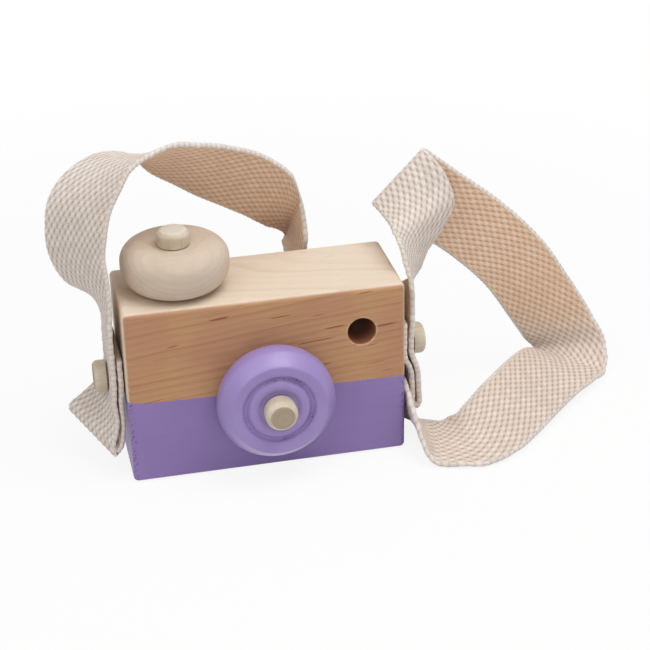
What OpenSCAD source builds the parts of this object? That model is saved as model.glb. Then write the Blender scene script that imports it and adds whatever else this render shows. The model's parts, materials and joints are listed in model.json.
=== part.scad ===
// Wooden toy camera: a pine block with a painted lower half, a turning lens wheel on the front,
// a turning dial wheel on top, a viewfinder hole and a webbing neck strap pinned to both sides.
// Millimetres. Z is up, the lens faces -Y, and the origin is the middle of the block's underside.

/* [Block] */
// Width of the block, left to right
body_w = 90; // [84:1:110]
// Depth of the block, front to back
body_d = 35; // [32:1:42]
// Height of the block
body_h = 60; // [56:1:70]
// Rounding of the block's edges
edge_r = 1.6; // [0.8:0.2:3]
// Height of the painted lower part
paint_h = 27.5; // [24:0.5:30]

/* [Viewfinder] */
// Diameter of the hole through the block
finder_d = 9; // [6:0.5:11]
// Distance of the hole from the block's right side
finder_inset = 14.3; // [10:0.1:18]
// Distance of the hole from the block's top
finder_drop = 15; // [11:0.5:17]

/* [Lens wheel] */
// Largest diameter of the lens wheel
lens_d = 38; // [37:0.5:42]
// Thickness of the lens wheel
lens_t = 13; // [11:0.5:15]
// Radius of the crowned tread round the lens wheel
lens_tread_r = 9; // [8:0.5:12]
// Diameter of the flat ring at the lens wheel's front
lens_ring_d = 30; // [26:0.5:31]
// Diameter of the groove in the lens wheel's front
lens_groove_d = 21.4; // [20:0.2:22]
// Sideways place of the lens from the middle of the block
lens_x = 1; // [-4:0.5:4]

/* [Dial wheel] */
// How far the dial's rim stays inside the block's front and back
dial_margin = 0.2; // [0.1:0.1:3]
// Thickness of the dial wheel
dial_t = 16; // [15:0.5:18]
// Rounding of the dial wheel's rim
dial_rim_r = 7.4; // [5:0.1:7.4]
// Distance of the dial's axis from the block's left side
dial_inset = 19.5; // [19:0.5:26]

/* [Pegs] */
// Diameter of every peg's shank
peg_d = 6; // [5:0.1:7]
// Diameter of every peg's head
head_d = 10.4; // [9:0.1:12]
// Length of the head on the lens peg
lens_head = 5.6; // [4:0.1:8]
// Length of the head on the dial peg
dial_head = 5; // [3:0.5:7]
// Length of the heads on the strap pegs
strap_head = 4; // [3:0.5:6]
// Depth to which the pegs are glued into the block
peg_depth = 14; // [10:0.5:15]
// Height of the strap pegs
strap_peg_z = 31; // [30:0.5:33]

/* [Strap] */
// Width of the webbing
strap_w = 25; // [20:1:26]
// Thickness of the webbing
strap_t = 1.8; // [1.2:0.1:2]

/* [Fits] */
// Radial play of a wheel on its peg
run_play = 0.08; // [0.03:0.01:0.1]
// Radial room for glue around a shank in the block
glue_play = 0.05; // [0.02:0.01:0.1]
// Free gap at each side of a turning wheel
side_play = 0.3; // [0.2:0.05:0.6]
// Radial room for a shank in the webbing
strap_play = 0.3; // [0.2:0.05:0.6]
// Room for two layers of webbing under the left strap peg's head
strap_seat_left = 5; // [5:0.1:6]
// Room for the looser layers of webbing under the right strap peg's head
strap_seat_right = 6.6; // [6.6:0.1:7.5]

/* [Hidden] */
$fn = 72;
wood_c = "#dcc09a";
pale_c = "#e6d8bd";
peg_c = "#cfc09e";
paint_c = "#9c86c6";
strap_c = "#e6dccf";

peg_r = peg_d / 2;
lens_z = paint_h;
dial_d = body_d - 2 * dial_margin;
dial_x = dial_inset - body_w / 2;
finder_x = body_w / 2 - finder_inset;
finder_z = body_h - finder_drop;

// Depths below the lens wheel's front ring: edge of the groove, its bottom, crown of the hub
// ring and floor of the dish that the peg's head sits in
lens_slope = 0.6;
lens_groove = 1.9;
lens_hub_crown = 0.4;
lens_dish = 1.2;
lens_groove_w = 1.4;
lens_dish_d = 13.4;
lens_hub_t = lens_t - lens_dish;
lens_seat = side_play + lens_hub_t + side_play;
// Floor of the dial's dish, measured from the block, and the seat of its peg's head
dial_dish = 2;
dial_dish_d = 19;
dial_hub_t = dial_t - dial_dish;
dial_seat = side_play + dial_hub_t + side_play;

// The strap's route: [middle of the webbing, direction across it from front edge to back edge].
// It starts at the end tucked under at the right peg and finishes at the end under the left peg.
route = [
  [[46.3, 0, 43], [0, 1, 0]],
  [[46.3, 0, 36], [0, 1, 0]],
  [[46.3, 0, 32], [0, 1, 0]],
  [[46.6, 0, 29.8], [0, 1, 0]],
  [[47.5, 0, 27.9], [0, 1, 0]],
  [[48.35, 0, 25.8], [0, 1, 0]],
  [[48.8, 0, 22], [0, 1, 0]],
  [[49, 0, 16.5], [0, 1, 0]],
  [[49.15, 0, 13.2], [0, 1, 0]],
  [[50.2, 0, 11.6], [0, 1, 0]],
  [[51.25, 0, 13.2], [0, 1, 0]],
  [[51.15, 0, 17], [0, 1, 0]],
  [[50.95, 0, 22], [0, 1, 0]],
  [[50.5, 0, 26.2], [0, 1, 0]],
  [[49.6, 0, 28.8], [0, 1, 0]],
  [[48.8, 0, 31.2], [0, 1, 0]],
  [[48.55, 0, 36.5], [0, 1, 0]],
  [[48.9, 0, 42], [0, 1, 0]],
  [[50, 0, 47.5], [0.1, 1, -0.2]],
  [[51.3, -1, 53], [0.25, 0.9, -0.4]],
  [[52, -1, 58], [0.4, 0.8, -0.4]],
  [[52.8, 0.5, 63], [0.55, 0.75, -0.4]],
  [[54.8, 2.45, 67.2], [0.73, 0.64, -0.25]],
  [[56.95, 4.6, 72.3], [0.862, 0.501, 0.08]],
  [[56, 9.8, 76.6], [0.85, 0.22, 0.38]],
  [[53.8, 13, 80], [0.75, 0.1, 0.63]],
  [[51.8, 16.2, 82], [0.73, 0.08, 0.68]],
  [[52.8, 18.8, 81], [0.73, 0.08, 0.68]],
  [[57, 19.8, 77.4], [0.74, 0.06, 0.66]],
  [[65, 20, 70.8], [0.76, 0.04, 0.64]],
  [[80, 20, 58.5], [0.8, 0.03, 0.6]],
  [[93, 20, 45], [0.86, 0, 0.5]],
  [[103, 20, 30], [0.92, -0.05, 0.4]],
  [[110.8, 20.5, 17], [0.94, -0.15, 0.2]],
  [[115, 20.6, 9], [0.93, -0.3, 0]],
  [[115, 17.6, 5.6], [0.9, -0.4, -0.15]],
  [[110, 12, 7], [0.8, -0.5, -0.3]],
  [[103, 5, 9], [0.72, -0.55, -0.42]],
  [[93.5, -4, 9], [0.65, -0.58, -0.5]],
  [[82, -15, 8], [0.55, -0.66, -0.5]],
  [[72.6, -22, 5.8], [0.42, -0.84, -0.34]],
  [[66.6, -24.3, 4], [0.25, -0.95, -0.22]],
  [[61.1, -23, 2.6], [0.025, -0.996, -0.083]],
  [[54.7, -20.1, 1.8], [-0.225, -0.974, -0.017]],
  [[48.9, -12.8, 7.6], [-0.159, -0.86, 0.486]],
  [[47.35, -6.9, 10.22], [-0.072, -0.685, 0.725]],
  [[46.62, -0.5, 12], [-0.03, -0.447, 0.894]],
  [[46.15, 9, 12.85], [0, -0.14, 0.987]],
  [[46.1, 16.8, 12.85], [0, 0, 1]],
  [[43.8, 23.8, 12.9], [0, 0.1, 1]],
  [[38.5, 29, 13.1], [0, 0.25, 0.97]],
  [[32.6, 32.6, 10.3], [0, 0.7, 0.72]],
  [[26.5, 33.5, 4.8], [0, 0.97, 0.22]],
  [[21, 33.5, 3], [0, 1, 0]],
  [[17.8, 33.2, 7], [0, 1, 0]],
  [[17.5, 33, 21], [0, 1, 0]],
  [[17.8, 33, 36], [-0.02, 0.99, 0.05]],
  [[18.23, 33.14, 48.52], [-0.101, 0.988, 0.121]],
  [[16.98, 33.39, 59.96], [-0.221, 0.968, -0.12]],
  [[14.69, 31.91, 65.79], [-0.322, 0.836, -0.443]],
  [[12.98, 27.63, 70.85], [-0.355, 0.608, -0.71]],
  [[9.5, 22.5, 79.3], [-0.39, 0.37, -0.84]],
  [[1.5, 20, 84.5], [-0.39, 0.36, -0.85]],
  [[-9, 16.5, 90.5], [-0.35, 0.46, -0.82]],
  [[-18.5, 13, 95.7], [-0.3, 0.62, -0.71]],
  [[-26.5, 10, 99.4], [-0.2, 0.76, -0.62]],
  [[-33.5, 7.5, 101.8], [-0.12, 0.93, -0.35]],
  [[-41.5, 5, 101.8], [-0.3, 0.95, -0.13]],
  [[-48.5, 2, 97.8], [-0.58, 0.81, -0.07]],
  [[-53.5, 0, 91], [-0.7, 0.7, -0.13]],
  [[-55.5, -1, 83], [-0.68, 0.72, -0.15]],
  [[-55.8, -1, 74], [-0.6, 0.76, -0.25]],
  [[-53.5, -0.5, 65.5], [-0.45, 0.83, -0.32]],
  [[-49.8, 0, 58], [-0.15, 0.95, -0.22]],
  [[-48.6, 0, 50], [0, 1, 0]],
  [[-48.5, 0, 40], [0, 1, 0]],
  [[-48.6, 0, 31], [0, 1, 0]],
  [[-48.9, 0, 26.5], [0, 1, 0]],
  [[-50.8, -0.5, 21.5], [-0.2, 0.97, 0.05]],
  [[-53.5, -1.5, 17.5], [-0.35, 0.9, 0.15]],
  [[-55.8, -2, 14.3], [-0.45, 0.85, 0.25]],
  [[-55.6, -2, 12], [-0.45, 0.85, 0.25]],
  [[-53.6, -1.8, 12.8], [-0.43, 0.86, 0.24]],
  [[-51, -1, 16.4], [-0.33, 0.9, 0.15]],
  [[-48.2, -0.4, 21.2], [-0.14, 0.97, 0.05]],
  [[-46.7, 0, 26.5], [0, 1, 0]],
  [[-46.4, 0, 31], [0, 1, 0]],
  [[-46.4, 0, 42], [0, 1, 0]]
];
// Block the route was laid around; a larger or smaller block moves the route with its faces
route_block = [90, 35, 60];
steps = 3;

// Rectangle with round corners, centred
module round_rect(w, h, r) {
  square([w - 2 * r, h], center = true);
  square([w, h - 2 * r], center = true);
  for (sx = [-1, 1])
    for (sy = [-1, 1])
      translate([sx * (w / 2 - r), sy * (h / 2 - r)])
        circle(r = r);
}

// Block with every edge rounded, standing on z = 0
module rounded_block() {
  intersection() {
    linear_extrude(body_h)
      round_rect(body_w, body_d, edge_r);
    translate([0, body_d / 2, body_h / 2])
      rotate([90, 0, 0])
        linear_extrude(body_d)
          round_rect(body_w, body_h, edge_r);
    translate([-body_w / 2, 0, body_h / 2])
      rotate([90, 0, 90])
        linear_extrude(body_w)
          round_rect(body_d, body_h, edge_r);
  }
}

// Everything inside the peg's running bore, to cut a wheel's profile back from the axis
module bore_side(reach) {
  translate([-reach, -reach])
    square([reach + peg_r + run_play, 3 * reach]);
}

// Half section of the lens wheel: a crowned tread, with its front corner eased
module lens_section() {
  core = lens_d / 2 - lens_tread_r;
  difference() {
    union() {
      square([core, lens_t]);
      intersection() {
        translate([core, lens_t / 2])
          circle(r = lens_tread_r, $fn = 120);
        square([lens_d / 2, lens_t]);
      }
    }
    translate([lens_ring_d / 2, lens_t])
      rotate(-32)
        square([lens_d, lens_t]);
    lens_front();
    bore_side(lens_d);
  }
}

// What is turned away from the lens wheel's front: a sloping ring, a groove, a crowned hub and a dish
module lens_front() {
  groove = lens_groove_d / 2;
  dish = lens_dish_d / 2;
  crown = (groove - lens_groove_w / 2 + dish) / 2;
  polygon([
    [0, lens_t + 1],
    [0, lens_t - lens_dish],
    [dish - 0.4, lens_t - lens_dish],
    [dish, lens_t - lens_slope],
    [crown - 0.5, lens_t - lens_hub_crown],
    [crown + 0.5, lens_t - lens_hub_crown],
    [groove - lens_groove_w / 2, lens_t - lens_slope - 0.2],
    [groove - 0.2, lens_t - lens_groove],
    [groove + 0.2, lens_t - lens_groove],
    [groove + lens_groove_w / 2, lens_t - lens_slope],
    [lens_ring_d / 2, lens_t],
    [lens_ring_d / 2, lens_t + 1]
  ]);
}

// Half section of the dial wheel: a fat round rim and a shallow dish on top
module dial_section() {
  r = dial_rim_r;
  difference() {
    union() {
      square([dial_d / 2 - r, dial_t]);
      translate([0, r])
        square([dial_d / 2, dial_t - 2 * r]);
      translate([dial_d / 2 - r, r])
        circle(r = r);
      translate([dial_d / 2 - r, dial_t - r])
        circle(r = r);
    }
    polygon([
      [0, dial_t + 1],
      [0, dial_t - dial_dish],
      [dial_dish_d / 2 - 2.4, dial_t - dial_dish],
      [dial_dish_d / 2 - 0.8, dial_t - dial_dish / 2],
      [dial_dish_d / 2, dial_t],
      [dial_dish_d / 2, dial_t + 1]
    ]);
    bore_side(dial_d);
  }
}

// Peg along +z: shank from -shank to 0, then a head with a bevelled end
module peg(shank, head, bevel) {
  rotate_extrude()
    polygon([
      [0, -shank],
      [peg_r - 0.5, -shank],
      [peg_r, 0.5 - shank],
      [peg_r, 0],
      [head_d / 2 - 0.3, 0],
      [head_d / 2, 0.3],
      [head_d / 2, head - bevel],
      [head_d / 2 - bevel, head],
      [0, head]
    ]);
}

module body_block() {
  color(wood_c)
    difference() {
      rounded_block();
      translate([finder_x, body_d, finder_z])
        rotate([90, 0, 0])
          cylinder(d = finder_d, h = 2 * body_d);
      translate([lens_x, 0, lens_z])
        rotate([90, 0, 0])
          translate([0, 0, body_d / 2 - peg_depth])
            cylinder(r = peg_r + glue_play, h = body_d);
      translate([dial_x, 0, body_h - peg_depth])
        cylinder(r = peg_r + glue_play, h = body_h);
      for (s = [-1, 1])
        translate([s * (body_w / 2 - peg_depth), 0, strap_peg_z])
          rotate([0, s * 90, 0])
            cylinder(r = peg_r + glue_play, h = body_w);
    }
}

module lens_wheel() {
  color(paint_c)
    translate([lens_x, -body_d / 2 - side_play, lens_z])
      rotate([90, 0, 0])
        rotate_extrude()
          lens_section();
}

module lens_peg() {
  color(peg_c)
    translate([lens_x, -body_d / 2 - lens_seat, lens_z])
      rotate([90, 0, 0])
        peg(lens_seat + peg_depth, lens_head, 1.3);
}

module dial_wheel() {
  color(pale_c)
    translate([dial_x, 0, body_h + side_play])
      rotate_extrude()
        dial_section();
}

module dial_peg() {
  color(peg_c)
    translate([dial_x, 0, body_h + dial_seat])
      peg(dial_seat + peg_depth, dial_head, 1);
}

module strap_peg(side, seat) {
  color(peg_c)
    translate([side * (body_w / 2 + seat), 0, strap_peg_z])
      rotate([0, side * 90, 0])
        peg(seat + peg_depth, strap_head, 0.8);
}

module strap_peg_left() {
  strap_peg(-1, strap_seat_left);
}

module strap_peg_right() {
  strap_peg(1, strap_seat_right);
}

function clamp1(v) = max(-1, min(1, v));

// A route point moved out or in with the block's faces
function placed(p) = [
  p[0] + (body_w - route_block[0]) / 2 * clamp1(2 * p[0] / route_block[0]),
  p[1] + (body_d - route_block[1]) / 2 * clamp1(2 * p[1] / route_block[1]),
  p[2] + (body_h - route_block[2]) * max(0, clamp1((p[2] - 44) / 16))
];

last = len(route) - 1;
knots = [for (s = route) placed(s[0])];
across = [for (s = route) s[1] / norm(s[1])];
spans = [for (i = [0:last - 1]) norm(knots[i + 1] - knots[i])];

// Slope of a list of values along the route, per millimetre, at station i
function slope(v, i) =
  i == 0 ? (v[1] - v[0]) / spans[0] :
  i == last ? (v[last] - v[last - 1]) / spans[last - 1] :
  ((v[i + 1] - v[i]) / spans[i] * spans[i - 1] + (v[i] - v[i - 1]) / spans[i - 1] * spans[i])
    / (spans[i] + spans[i - 1]);

// Smooth value between stations i and i + 1 at t from 0 to 1, and its direction of change
function between(v, i, t) =
  (2 * t * t * t - 3 * t * t + 1) * v[i] + (t * t * t - 2 * t * t + t) * spans[i] * slope(v, i)
  + (3 * t * t - 2 * t * t * t) * v[i + 1] + (t * t * t - t * t) * spans[i] * slope(v, i + 1);
function heading(v, i, t) =
  (6 * t * t - 6 * t) * v[i] + (3 * t * t - 4 * t + 1) * spans[i] * slope(v, i)
  + (6 * t - 6 * t * t) * v[i + 1] + (3 * t * t - 2 * t) * spans[i] * slope(v, i + 1);

function unit(v) = v / norm(v);

// Four corners of the webbing's section at one place; where it is cut aslant the section is longer
function section(i, t) =
  let (
    c = between(knots, i, t),
    along = unit(heading(knots, i, t)),
    a = unit(between(across, i, t)),
    w = a * strap_w / 2 / max(0.8, norm(cross(a, along))),
    n = unit(cross(along, w)) * strap_t / 2
  ) [c - w - n, c + w - n, c + w + n, c - w + n];

rings = [
  for (i = [0:last - 1])
    for (k = [0:steps - 1])
      section(i, k / steps),
  section(last - 1, 1)
];

module webbing() {
  n = len(rings);
  corners = [for (r = rings) for (p = r) p];
  sides = [
    for (j = [0:n - 2])
      for (k = [0:3])
        let (a = 4 * j + k, b = 4 * j + (k + 1) % 4, c = b + 4, d = a + 4)
          for (f = [[a, b, c], [a, c, d]]) f
  ];
  ends = [[2, 1, 0], [3, 2, 0], [4 * n - 4, 4 * n - 3, 4 * n - 2], [4 * n - 4, 4 * n - 2, 4 * n - 1]];
  polyhedron(points = corners, faces = concat(sides, ends), convexity = 10);
}

module strap() {
  color(strap_c)
    difference() {
      webbing();
      for (s = [-1, 1])
        translate([s * body_w / 2, 0, strap_peg_z])
          rotate([0, s * 90, 0])
            cylinder(r = peg_r + strap_play, h = strap_seat_right);
    }
}

body_block();
lens_wheel();
lens_peg();
dial_wheel();
dial_peg();
strap_peg_left();
strap_peg_right();
strap();
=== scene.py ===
# %% [markdown]
# # A wooden toy camera with a webbing neck strap
# The real toy is eight pieces: a pine block dipped half in lavender paint, a turned lens wheel
# and a turned dial wheel that spin on glued pegs, two more pegs that pin the ends of one long
# cotton strap, and that strap. The construction is already packed as a fixed frame, in metres,
# with Z up and the lens facing -Y. This script loads it, then makes the surface of each piece in
# the same place.

# %% Load the frame
import json
import math

import bmesh
import bpy
import numpy as np
from mathutils import Matrix, Vector


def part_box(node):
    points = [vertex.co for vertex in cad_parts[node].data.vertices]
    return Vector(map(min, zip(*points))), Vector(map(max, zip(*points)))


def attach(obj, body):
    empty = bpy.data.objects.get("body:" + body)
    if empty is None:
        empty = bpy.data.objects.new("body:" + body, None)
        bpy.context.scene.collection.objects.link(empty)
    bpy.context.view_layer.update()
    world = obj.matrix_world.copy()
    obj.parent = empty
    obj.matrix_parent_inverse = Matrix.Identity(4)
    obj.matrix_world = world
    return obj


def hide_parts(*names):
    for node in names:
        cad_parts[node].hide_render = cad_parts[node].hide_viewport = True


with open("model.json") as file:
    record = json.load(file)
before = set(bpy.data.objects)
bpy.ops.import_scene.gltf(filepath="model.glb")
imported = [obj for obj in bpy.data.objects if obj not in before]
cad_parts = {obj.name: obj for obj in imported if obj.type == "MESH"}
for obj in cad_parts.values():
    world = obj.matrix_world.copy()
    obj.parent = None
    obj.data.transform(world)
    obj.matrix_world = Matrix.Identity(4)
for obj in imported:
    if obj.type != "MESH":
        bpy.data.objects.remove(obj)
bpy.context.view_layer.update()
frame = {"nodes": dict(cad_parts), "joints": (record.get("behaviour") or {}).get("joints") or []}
print("nodes:", sorted(frame["nodes"]))

# %% [markdown]
# ## The camera
# A picture's perspective can be undone: the block's corners in the photograph and the block's
# size in the frame fix where the picture was taken from, which way it looks and how long the lens
# was. The result is written as a place, three angles and a focal length, in pixels of a picture
# 650 pixels wide.

# %% Make the camera
frame_px = 650
focal_px = 1797.7
stand_point = Vector((-0.0868, -0.5111, 0.3092))
azimuth, elevation, roll = (math.radians(a) for a in (-12.068, 27.284, -1.219))

eye_data = bpy.data.cameras.new("photo_eye")
eye_data.sensor_width = 36
eye_data.lens = focal_px / frame_px * eye_data.sensor_width
eye = bpy.data.objects.new("photo_eye", eye_data)
bpy.context.scene.collection.objects.link(eye)
look_back = Vector((math.sin(azimuth) * math.cos(elevation),
                    -math.cos(azimuth) * math.cos(elevation),
                    math.sin(elevation)))
look = (-look_back).to_track_quat("-Z", "Y").to_matrix().to_4x4()
eye.matrix_world = Matrix.Translation(stand_point) @ look @ Matrix.Rotation(roll, 4, "Z")
bpy.context.scene.camera = eye
print(f"camera lens {eye_data.lens:.1f} mm")

# %% [markdown]
# ## The strap's route
# The strap is one length of cotton webbing. Both ends are folded under and pinned to the sides of
# the block, and the rest falls in two loops: one stands up at the left and leans over to the
# back, the other climbs at the right, creases over and sweeps round on the floor. Webbing bends
# easily across its width and hardly at all within its plane, so a cloth simulation would not find
# this fall again. It is swept along a route instead: each station has the middle of the webbing
# and the direction across it, from its front edge to its back edge. They are the stations of the
# frame's own solid, apart from five behind the block, where a softer bend looks more like cloth.

# %% Stations of the strap
strap_stations = [
    ((0.0463, 0, 0.043), (0, 1, 0)),
    ((0.0463, 0, 0.036), (0, 1, 0)),
    ((0.0463, 0, 0.032), (0, 1, 0)),
    ((0.0466, 0, 0.0298), (0, 1, 0)),
    ((0.0475, 0, 0.0279), (0, 1, 0)),
    ((0.04835, 0, 0.0258), (0, 1, 0)),
    ((0.0488, 0, 0.022), (0, 1, 0)),
    ((0.049, 0, 0.0165), (0, 1, 0)),
    ((0.04915, 0, 0.0132), (0, 1, 0)),
    ((0.0502, 0, 0.0116), (0, 1, 0)),
    ((0.05125, 0, 0.0132), (0, 1, 0)),
    ((0.05115, 0, 0.017), (0, 1, 0)),
    ((0.05095, 0, 0.022), (0, 1, 0)),
    ((0.0505, 0, 0.0262), (0, 1, 0)),
    ((0.0496, 0, 0.0288), (0, 1, 0)),
    ((0.0488, 0, 0.0312), (0, 1, 0)),
    ((0.04855, 0, 0.0365), (0, 1, 0)),
    ((0.0489, 0, 0.042), (0, 1, 0)),
    ((0.05, 0, 0.0475), (0.1, 1, -0.2)),
    ((0.0513, -0.001, 0.053), (0.25, 0.9, -0.4)),
    ((0.052, -0.001, 0.058), (0.4, 0.8, -0.4)),
    ((0.0528, 0.0005, 0.063), (0.55, 0.75, -0.4)),
    ((0.0548, 0.00245, 0.0672), (0.73, 0.64, -0.25)),
    ((0.05695, 0.0046, 0.0723), (0.862, 0.501, 0.08)),
    ((0.056, 0.0098, 0.0766), (0.85, 0.22, 0.38)),
    ((0.0538, 0.013, 0.08), (0.75, 0.1, 0.63)),
    ((0.0518, 0.0162, 0.082), (0.73, 0.08, 0.68)),
    ((0.0528, 0.0188, 0.081), (0.73, 0.08, 0.68)),
    ((0.057, 0.0198, 0.0774), (0.74, 0.06, 0.66)),
    ((0.065, 0.02, 0.0708), (0.76, 0.04, 0.64)),
    ((0.08, 0.02, 0.0585), (0.8, 0.03, 0.6)),
    ((0.093, 0.02, 0.045), (0.86, 0, 0.5)),
    ((0.103, 0.02, 0.03), (0.92, -0.05, 0.4)),
    ((0.1108, 0.0205, 0.017), (0.94, -0.15, 0.2)),
    ((0.115, 0.0206, 0.009), (0.93, -0.3, 0)),
    ((0.115, 0.0176, 0.0056), (0.9, -0.4, -0.15)),
    ((0.11, 0.012, 0.007), (0.8, -0.5, -0.3)),
    ((0.103, 0.005, 0.009), (0.72, -0.55, -0.42)),
    ((0.0935, -0.004, 0.009), (0.65, -0.58, -0.5)),
    ((0.082, -0.015, 0.008), (0.55, -0.66, -0.5)),
    ((0.0726, -0.022, 0.0058), (0.42, -0.84, -0.34)),
    ((0.0666, -0.0243, 0.004), (0.25, -0.95, -0.22)),
    ((0.0611, -0.023, 0.0026), (0.025, -0.996, -0.083)),
    ((0.0547, -0.0201, 0.0018), (-0.225, -0.974, -0.017)),
    ((0.0489, -0.0128, 0.0076), (-0.159, -0.86, 0.486)),
    ((0.04735, -0.0069, 0.01022), (-0.072, -0.685, 0.725)),
    ((0.04662, -0.0005, 0.012), (-0.03, -0.447, 0.894)),
    ((0.04615, 0.009, 0.01285), (0, -0.14, 0.987)),
    ((0.0461, 0.0168, 0.01285), (0, 0, 1)),
    ((0.0438, 0.0238, 0.0129), (0, 0.1, 1)),
    ((0.0385, 0.029, 0.0131), (0, 0.25, 0.97)),
    ((0.0326, 0.0326, 0.0103), (0, 0.7, 0.72)),
    ((0.0265, 0.0335, 0.0048), (0, 0.97, 0.22)),
    ((0.021, 0.0335, 0.003), (0, 1, 0)),
    ((0.0178, 0.0332, 0.007), (0, 1, 0)),
    ((0.0175, 0.033, 0.021), (0, 1, 0)),
    ((0.0185, 0.033, 0.04), (0.05, 1, 0)),
    ((0.0195, 0.0325, 0.056), (-0.08, 0.9, -0.42)),
    ((0.0187, 0.0295, 0.0655), (-0.04, 0.74, -0.68)),
    ((0.0159, 0.0255, 0.0714), (-0.11, 0.66, -0.74)),
    ((0.0092, 0.0222, 0.0787), (-0.3, 0.46, -0.83)),
    ((0.0015, 0.02, 0.0845), (-0.39, 0.36, -0.85)),
    ((-0.009, 0.0165, 0.0905), (-0.35, 0.46, -0.82)),
    ((-0.0185, 0.013, 0.0957), (-0.3, 0.62, -0.71)),
    ((-0.0265, 0.01, 0.0994), (-0.2, 0.76, -0.62)),
    ((-0.0335, 0.0075, 0.1018), (-0.12, 0.93, -0.35)),
    ((-0.0415, 0.005, 0.1018), (-0.3, 0.95, -0.13)),
    ((-0.0485, 0.002, 0.0978), (-0.58, 0.81, -0.07)),
    ((-0.0535, 0, 0.091), (-0.7, 0.7, -0.13)),
    ((-0.0555, -0.001, 0.083), (-0.68, 0.72, -0.15)),
    ((-0.0558, -0.001, 0.074), (-0.6, 0.76, -0.25)),
    ((-0.0535, -0.0005, 0.0655), (-0.45, 0.83, -0.32)),
    ((-0.0498, 0, 0.058), (-0.15, 0.95, -0.22)),
    ((-0.0486, 0, 0.05), (0, 1, 0)),
    ((-0.0485, 0, 0.04), (0, 1, 0)),
    ((-0.0486, 0, 0.031), (0, 1, 0)),
    ((-0.0489, 0, 0.0265), (0, 1, 0)),
    ((-0.0508, -0.0005, 0.0215), (-0.2, 0.97, 0.05)),
    ((-0.0535, -0.0015, 0.0175), (-0.35, 0.9, 0.15)),
    ((-0.0558, -0.002, 0.0143), (-0.45, 0.85, 0.25)),
    ((-0.0556, -0.002, 0.012), (-0.45, 0.85, 0.25)),
    ((-0.0536, -0.0018, 0.0128), (-0.43, 0.86, 0.24)),
    ((-0.051, -0.001, 0.0164), (-0.33, 0.9, 0.15)),
    ((-0.0482, -0.0004, 0.0212), (-0.14, 0.97, 0.05)),
    ((-0.0467, 0, 0.0265), (0, 1, 0)),
    ((-0.0464, 0, 0.031), (0, 1, 0)),
    ((-0.0464, 0, 0.042), (0, 1, 0)),
]
strap_middle = np.array([middle for middle, across in strap_stations], float)
strap_across = np.array([across for middle, across in strap_stations], float)
strap_across /= np.linalg.norm(strap_across, axis=1)[:, None]
station_gaps = np.linalg.norm(np.diff(strap_middle, axis=0), axis=1)
print(f"{len(strap_stations)} stations, {station_gaps.sum() * 1000:.0f} mm of straight steps")


# %% [markdown]
# A smooth curve goes through the stations: on each stretch a cubic that leaves and arrives with
# the slope of its neighbours. The same function carries the across direction, so the twist is
# smooth too.

# %% A smooth curve through the stations
def smooth_through(values, gaps, at):
    """Values and their change at places along the list, where a whole number is a station."""
    rise = np.diff(values, axis=0) / gaps[:, None]
    before, after = gaps[:-1, None], gaps[1:, None]
    inner = (rise[1:] * before + rise[:-1] * after) / (before + after)
    slope = np.vstack([rise[:1], inner, rise[-1:]])
    i = np.minimum(at.astype(int), len(gaps) - 1)
    t = (at - i)[:, None]
    leave = gaps[i, None] * slope[i]
    arrive = gaps[i, None] * slope[i + 1]
    jump = values[i + 1] - values[i]
    square, cube = 3 * jump - 2 * leave - arrive, leave + arrive - 2 * jump
    curve = values[i] + t * leave + t**2 * square + t**3 * cube
    change = leave + 2 * t * square + 3 * t**2 * cube
    return curve, change


def unit_rows(values):
    """Each row's vector divided by its length."""
    return values / np.linalg.norm(values, axis=1)[:, None]


steps_per_station = 40
fine_places = np.linspace(0, len(strap_stations) - 1, steps_per_station * len(strap_stations))
fine_line, _ = smooth_through(strap_middle, station_gaps, fine_places)
fine_steps = np.linalg.norm(np.diff(fine_line, axis=0), axis=1)
run_length = np.concatenate([[0], np.cumsum(fine_steps)])
strap_length = run_length[-1]
print(f"strap length {strap_length * 1000:.1f} mm")

# %% [markdown]
# ## The webbing
# Cotton webbing is a thick band of plain weave. From close by it is rows of slanted yarn bumps,
# each row shifted half a bump against the last, with a rounded selvedge at both edges. A bump map
# alone would leave the outline smooth, so the bumps are real: every row gets three rings of
# points, one in the hollow between rows and two over the bumps, and every bump gets four points
# across.

# %% Sizes of the webbing
strap_width = 0.025
strap_thick = 0.0018
bumps_across = 10
points_per_bump = 4
rings_per_row = 3
row_length = 0.0019
hollow_depth = 0.00036
bump_slant = -0.08
selvedge_round = 0.00098
selvedge_swell = 0.09
selvedge_turns = (-50, 0, 50)
edge_points = len(selvedge_turns)
nap = 0.00008
rows_along = round(strap_length / row_length)
ring_count = rows_along * rings_per_row + 1
face_points = bumps_across * points_per_bump + 1
print(f"{rows_along} rows of {bumps_across} bumps, {ring_count} rings")


# %% Height of the weave and the section of the band
def weave_height(point, ring, shift):
    """From 0 in a hollow to 1 on a yarn, for points across the band and rings along it.

    The first ring of a row lies low, where one row dips under the next.
    """
    row, step = np.divmod(ring, rings_per_row)
    phase = point / points_per_bump + 0.5 * ((row + shift) % 2) + bump_slant * (step - 1.5)
    swell = np.sqrt(0.5 - 0.5 * np.cos(2 * np.pi * phase))
    between_rows, on_the_row = 0.4 + 0.25 * swell, 0.1 + 0.9 * swell
    return np.where(step == 0, between_rows, on_the_row)


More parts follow.
